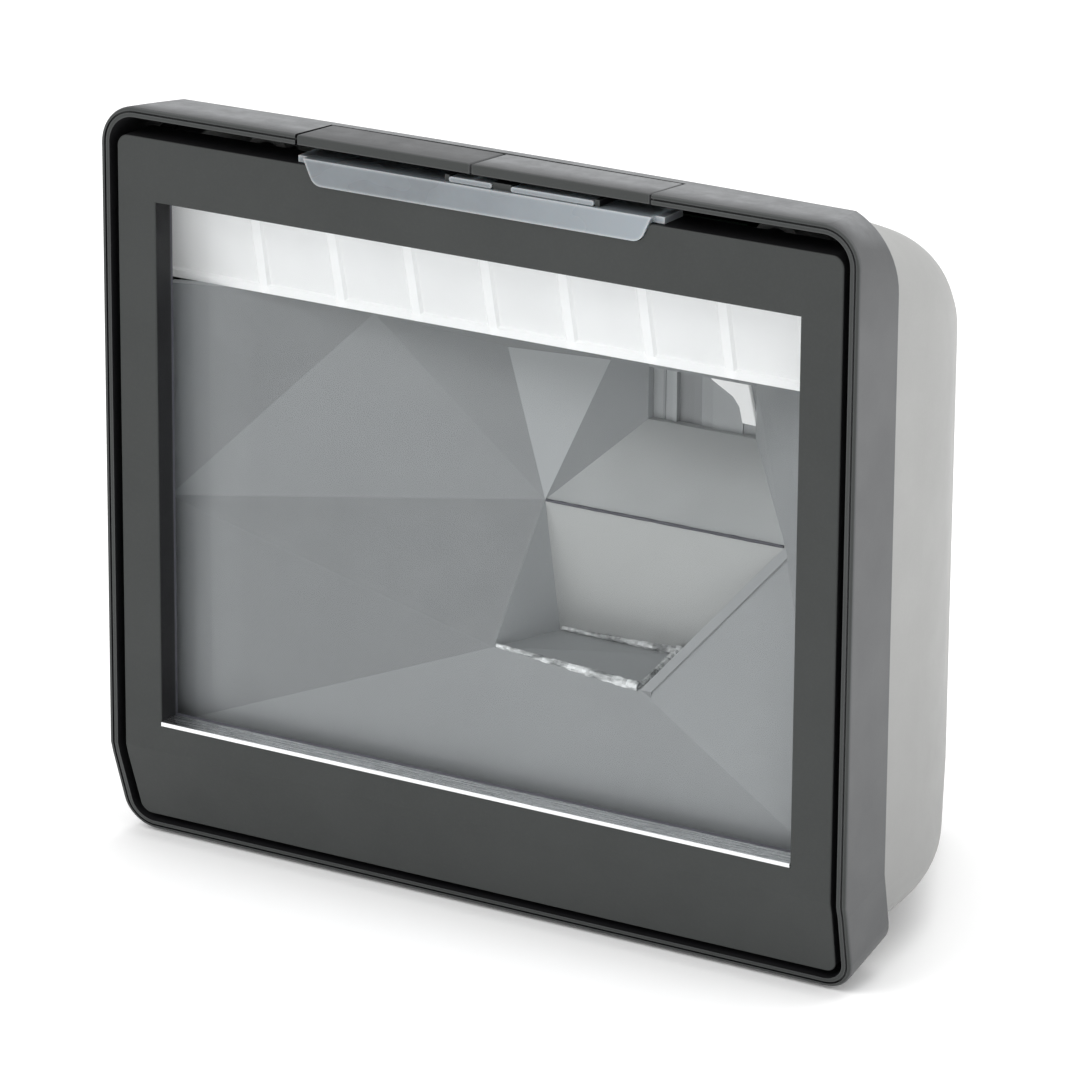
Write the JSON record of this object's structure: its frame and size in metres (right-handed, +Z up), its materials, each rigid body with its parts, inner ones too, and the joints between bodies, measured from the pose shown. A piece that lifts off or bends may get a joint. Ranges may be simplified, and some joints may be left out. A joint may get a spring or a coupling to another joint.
{
  "type": "presentation barcode scanner",
  "caption": "Upright checkout barcode scanner: a glass-fronted optical head with a folded chin, tapering rear shell, top light strip and two press keys.",
  "frame": {"origin": "centre of the overall footprint, on the surface that the rubber feet stand on", "axes": "+Z up, window faces -Y, +X along the width"},
  "size_m": [0.166, 0.097, 0.1488],
  "materials": {
    "dark_shell": "fine satin texture",
    "band_plastic": "fine satin texture",
    "grey_shell": "light grey, fine texture",
    "inner_shell": "smooth grey moulding",
    "window_glass": "clear, flat",
    "lens_glass": "coated",
    "clear_plastic": "translucent",
    "lamp_white": "white lamp",
    "diffuser_white": "white diffusing",
    "sill_metal": "bright",
    "seal_rubber": "soft black",
    "foot_rubber": "soft black",
    "mirror_face": "front silvered",
    "board_green": "solder mask",
    "chip_black": "moulded package",
    "steel": "zinc plated",
    "heatsink": "extruded",
    "brass_insert": "knurled",
    "flex_film": "polyimide film",
    "paper_cone": "paper",
    "plate_silver": "blank foil plate"
  },
  "bodies": {
    "case": {"side_band": "band_plastic", "front_bezel": "dark_shell", "sill_trim": "sill_metal", "window_gasket": "seal_rubber", "window_glass": "window_glass", "rear_housing": "grey_shell", "rubber_feet": "foot_rubber", "case_screws": "steel", "mounting_inserts": "brass_insert", "label_plate": "plate_silver", "light_pipe": "clear_plastic", "status_tab": "dark_shell", "status_windows": "clear_plastic", "key_switches": "chip_black", "key_board": "board_green", "status_lamps": "lamp_white", "light_diffuser": "diffuser_white", "led_board": "board_green", "illumination_leds": "lamp_white", "optics_tub": "inner_shell", "upper_mirror": "mirror_face", "lower_mirror": "mirror_face", "camera_shroud": "chip_black", "lens_barrel": "chip_black", "camera_lens": "lens_glass", "image_sensor": "chip_black", "camera_board": "board_green", "camera_flex": "flex_film", "main_board": "board_green", "board_screws": "steel", "processor": "chip_black", "heat_spreader": "heatsink", "board_parts": "chip_black", "speaker_frame": "steel", "speaker_cone": "paper_cone", "speaker_magnet": "steel", "data_jack": "chip_black", "power_jack": "chip_black"},
    "left_key_set": {"left_key": "band_plastic", "left_plunger": "lamp_white"},
    "right_key_set": {"right_key": "band_plastic", "right_plunger": "lamp_white"}
  },
  "joints": [
    {"name": "left_key_press", "type": "slide", "parent": "case", "child": "left_key_set", "axis": [0, 0, -1], "range_m": [0, 0.0008], "stiffness_N_per_m": 800},
    {"name": "right_key_press", "type": "slide", "parent": "case", "child": "right_key_set", "axis": [0, 0, -1], "range_m": [0, 0.0008], "stiffness_N_per_m": 800}
  ]
}
